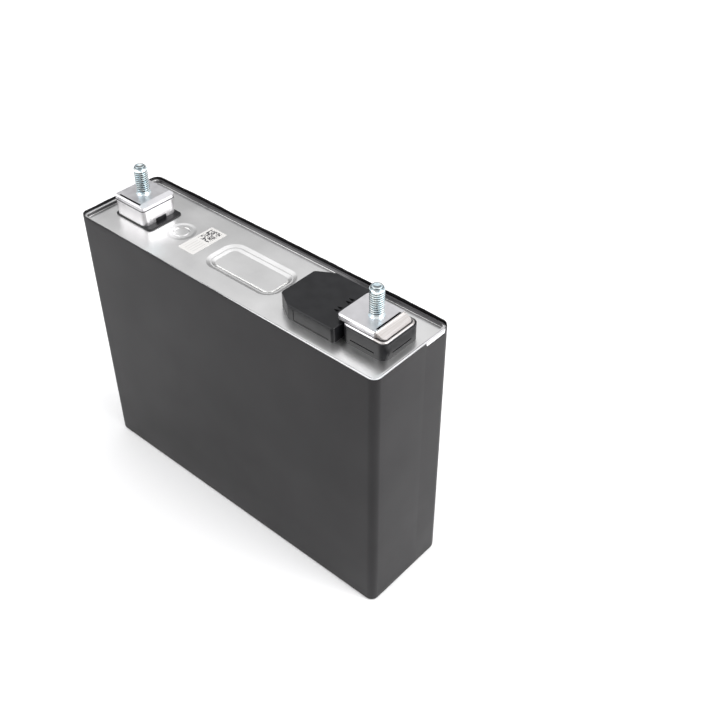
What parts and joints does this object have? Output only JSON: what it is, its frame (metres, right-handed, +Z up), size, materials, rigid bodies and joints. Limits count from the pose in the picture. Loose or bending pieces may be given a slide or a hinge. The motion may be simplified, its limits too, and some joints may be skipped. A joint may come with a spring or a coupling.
{
  "type": "prismatic battery cell",
  "caption": "Tall thin metal-cased battery cell wrapped in dark film, with a stud terminal at each end of the lid, a vent between them and a moulded safety cover.",
  "frame": {"origin": "middle of the underside, on the resting face", "axes": "+X along the cell's length towards the negative terminal, +Y through the thickness, +Z up through the lid"},
  "size_m": [0.1736, 0.0452, 0.1514],
  "materials": {
    "can_aluminium": "satin drawn aluminium",
    "lid_aluminium": "rolled, semi-bright aluminium",
    "weld_aluminium": "bright laser weld",
    "terminal_aluminium": "machined, bright",
    "stud_plate_steel": "plated, satin",
    "stud_zinc": "blue zinc plating",
    "film_black": "satin polyester film, dark grey",
    "moulding_black": "satin moulded plastic",
    "label_paper": "matt white, printed",
    "seal_rubber": "matt",
    "inner_plastic": "natural polypropylene",
    "inner_bag": "thin blue-white film",
    "collector_copper": "copper strip",
    "collector_aluminium": "aluminium strip",
    "foil_copper": "pressed bare copper foil",
    "foil_aluminium": "pressed bare aluminium foil",
    "windings": "coated electrodes and separator, wound and pressed",
    "tape_green": "adhesive tape"
  },
  "bodies": {
    "root": {"can": "can_aluminium", "lid_plate": "lid_aluminium", "lid_weld_bead": "weld_aluminium", "insulation_film": "film_black", "film_flap_right": "film_black", "film_flap_left": "film_black", "lid_label": "label_paper", "vent_rupture_sheet": "lid_aluminium", "vent_guard": "inner_plastic", "fill_port_pin": "terminal_aluminium", "fill_port_cap": "lid_aluminium", "positive_stud_plate": "stud_plate_steel", "positive_stud": "stud_zinc", "positive_rivet": "terminal_aluminium", "positive_seal_gasket": "seal_rubber", "positive_inner_insulator": "inner_plastic", "positive_collector": "collector_aluminium", "positive_weld_strips": "collector_aluminium", "negative_stud_plate": "stud_plate_steel", "negative_stud": "stud_zinc", "negative_rivet": "collector_copper", "negative_seal_gasket": "seal_rubber", "negative_inner_insulator": "inner_plastic", "negative_collector": "collector_copper", "negative_weld_strips": "collector_copper", "positive_outer_insulator": "moulding_black", "positive_terminal_block": "terminal_aluminium", "negative_terminal_base": "moulding_black", "negative_terminal_plate": "stud_plate_steel", "overcharge_diaphragm": "lid_aluminium", "overcharge_contact": "collector_aluminium", "overcharge_cover": "moulding_black", "bottom_spacer": "inner_plastic", "insulation_bag": "inner_bag", "negative_end_retainer": "inner_plastic", "positive_end_retainer": "inner_plastic", "roll_1_windings": "windings", "roll_1_copper_edge": "foil_copper", "roll_1_aluminium_edge": "foil_aluminium", "roll_1_end_tape": "tape_green", "roll_2_windings": "windings", "roll_2_copper_edge": "foil_copper", "roll_2_aluminium_edge": "foil_aluminium", "roll_2_end_tape": "tape_green", "roll_3_windings": "windings", "roll_3_copper_edge": "foil_copper", "roll_3_aluminium_edge": "foil_aluminium", "roll_3_end_tape": "tape_green", "roll_4_windings": "windings", "roll_4_copper_edge": "foil_copper", "roll_4_aluminium_edge": "foil_aluminium", "roll_4_end_tape": "tape_green"}
  },
  "joints": []
}
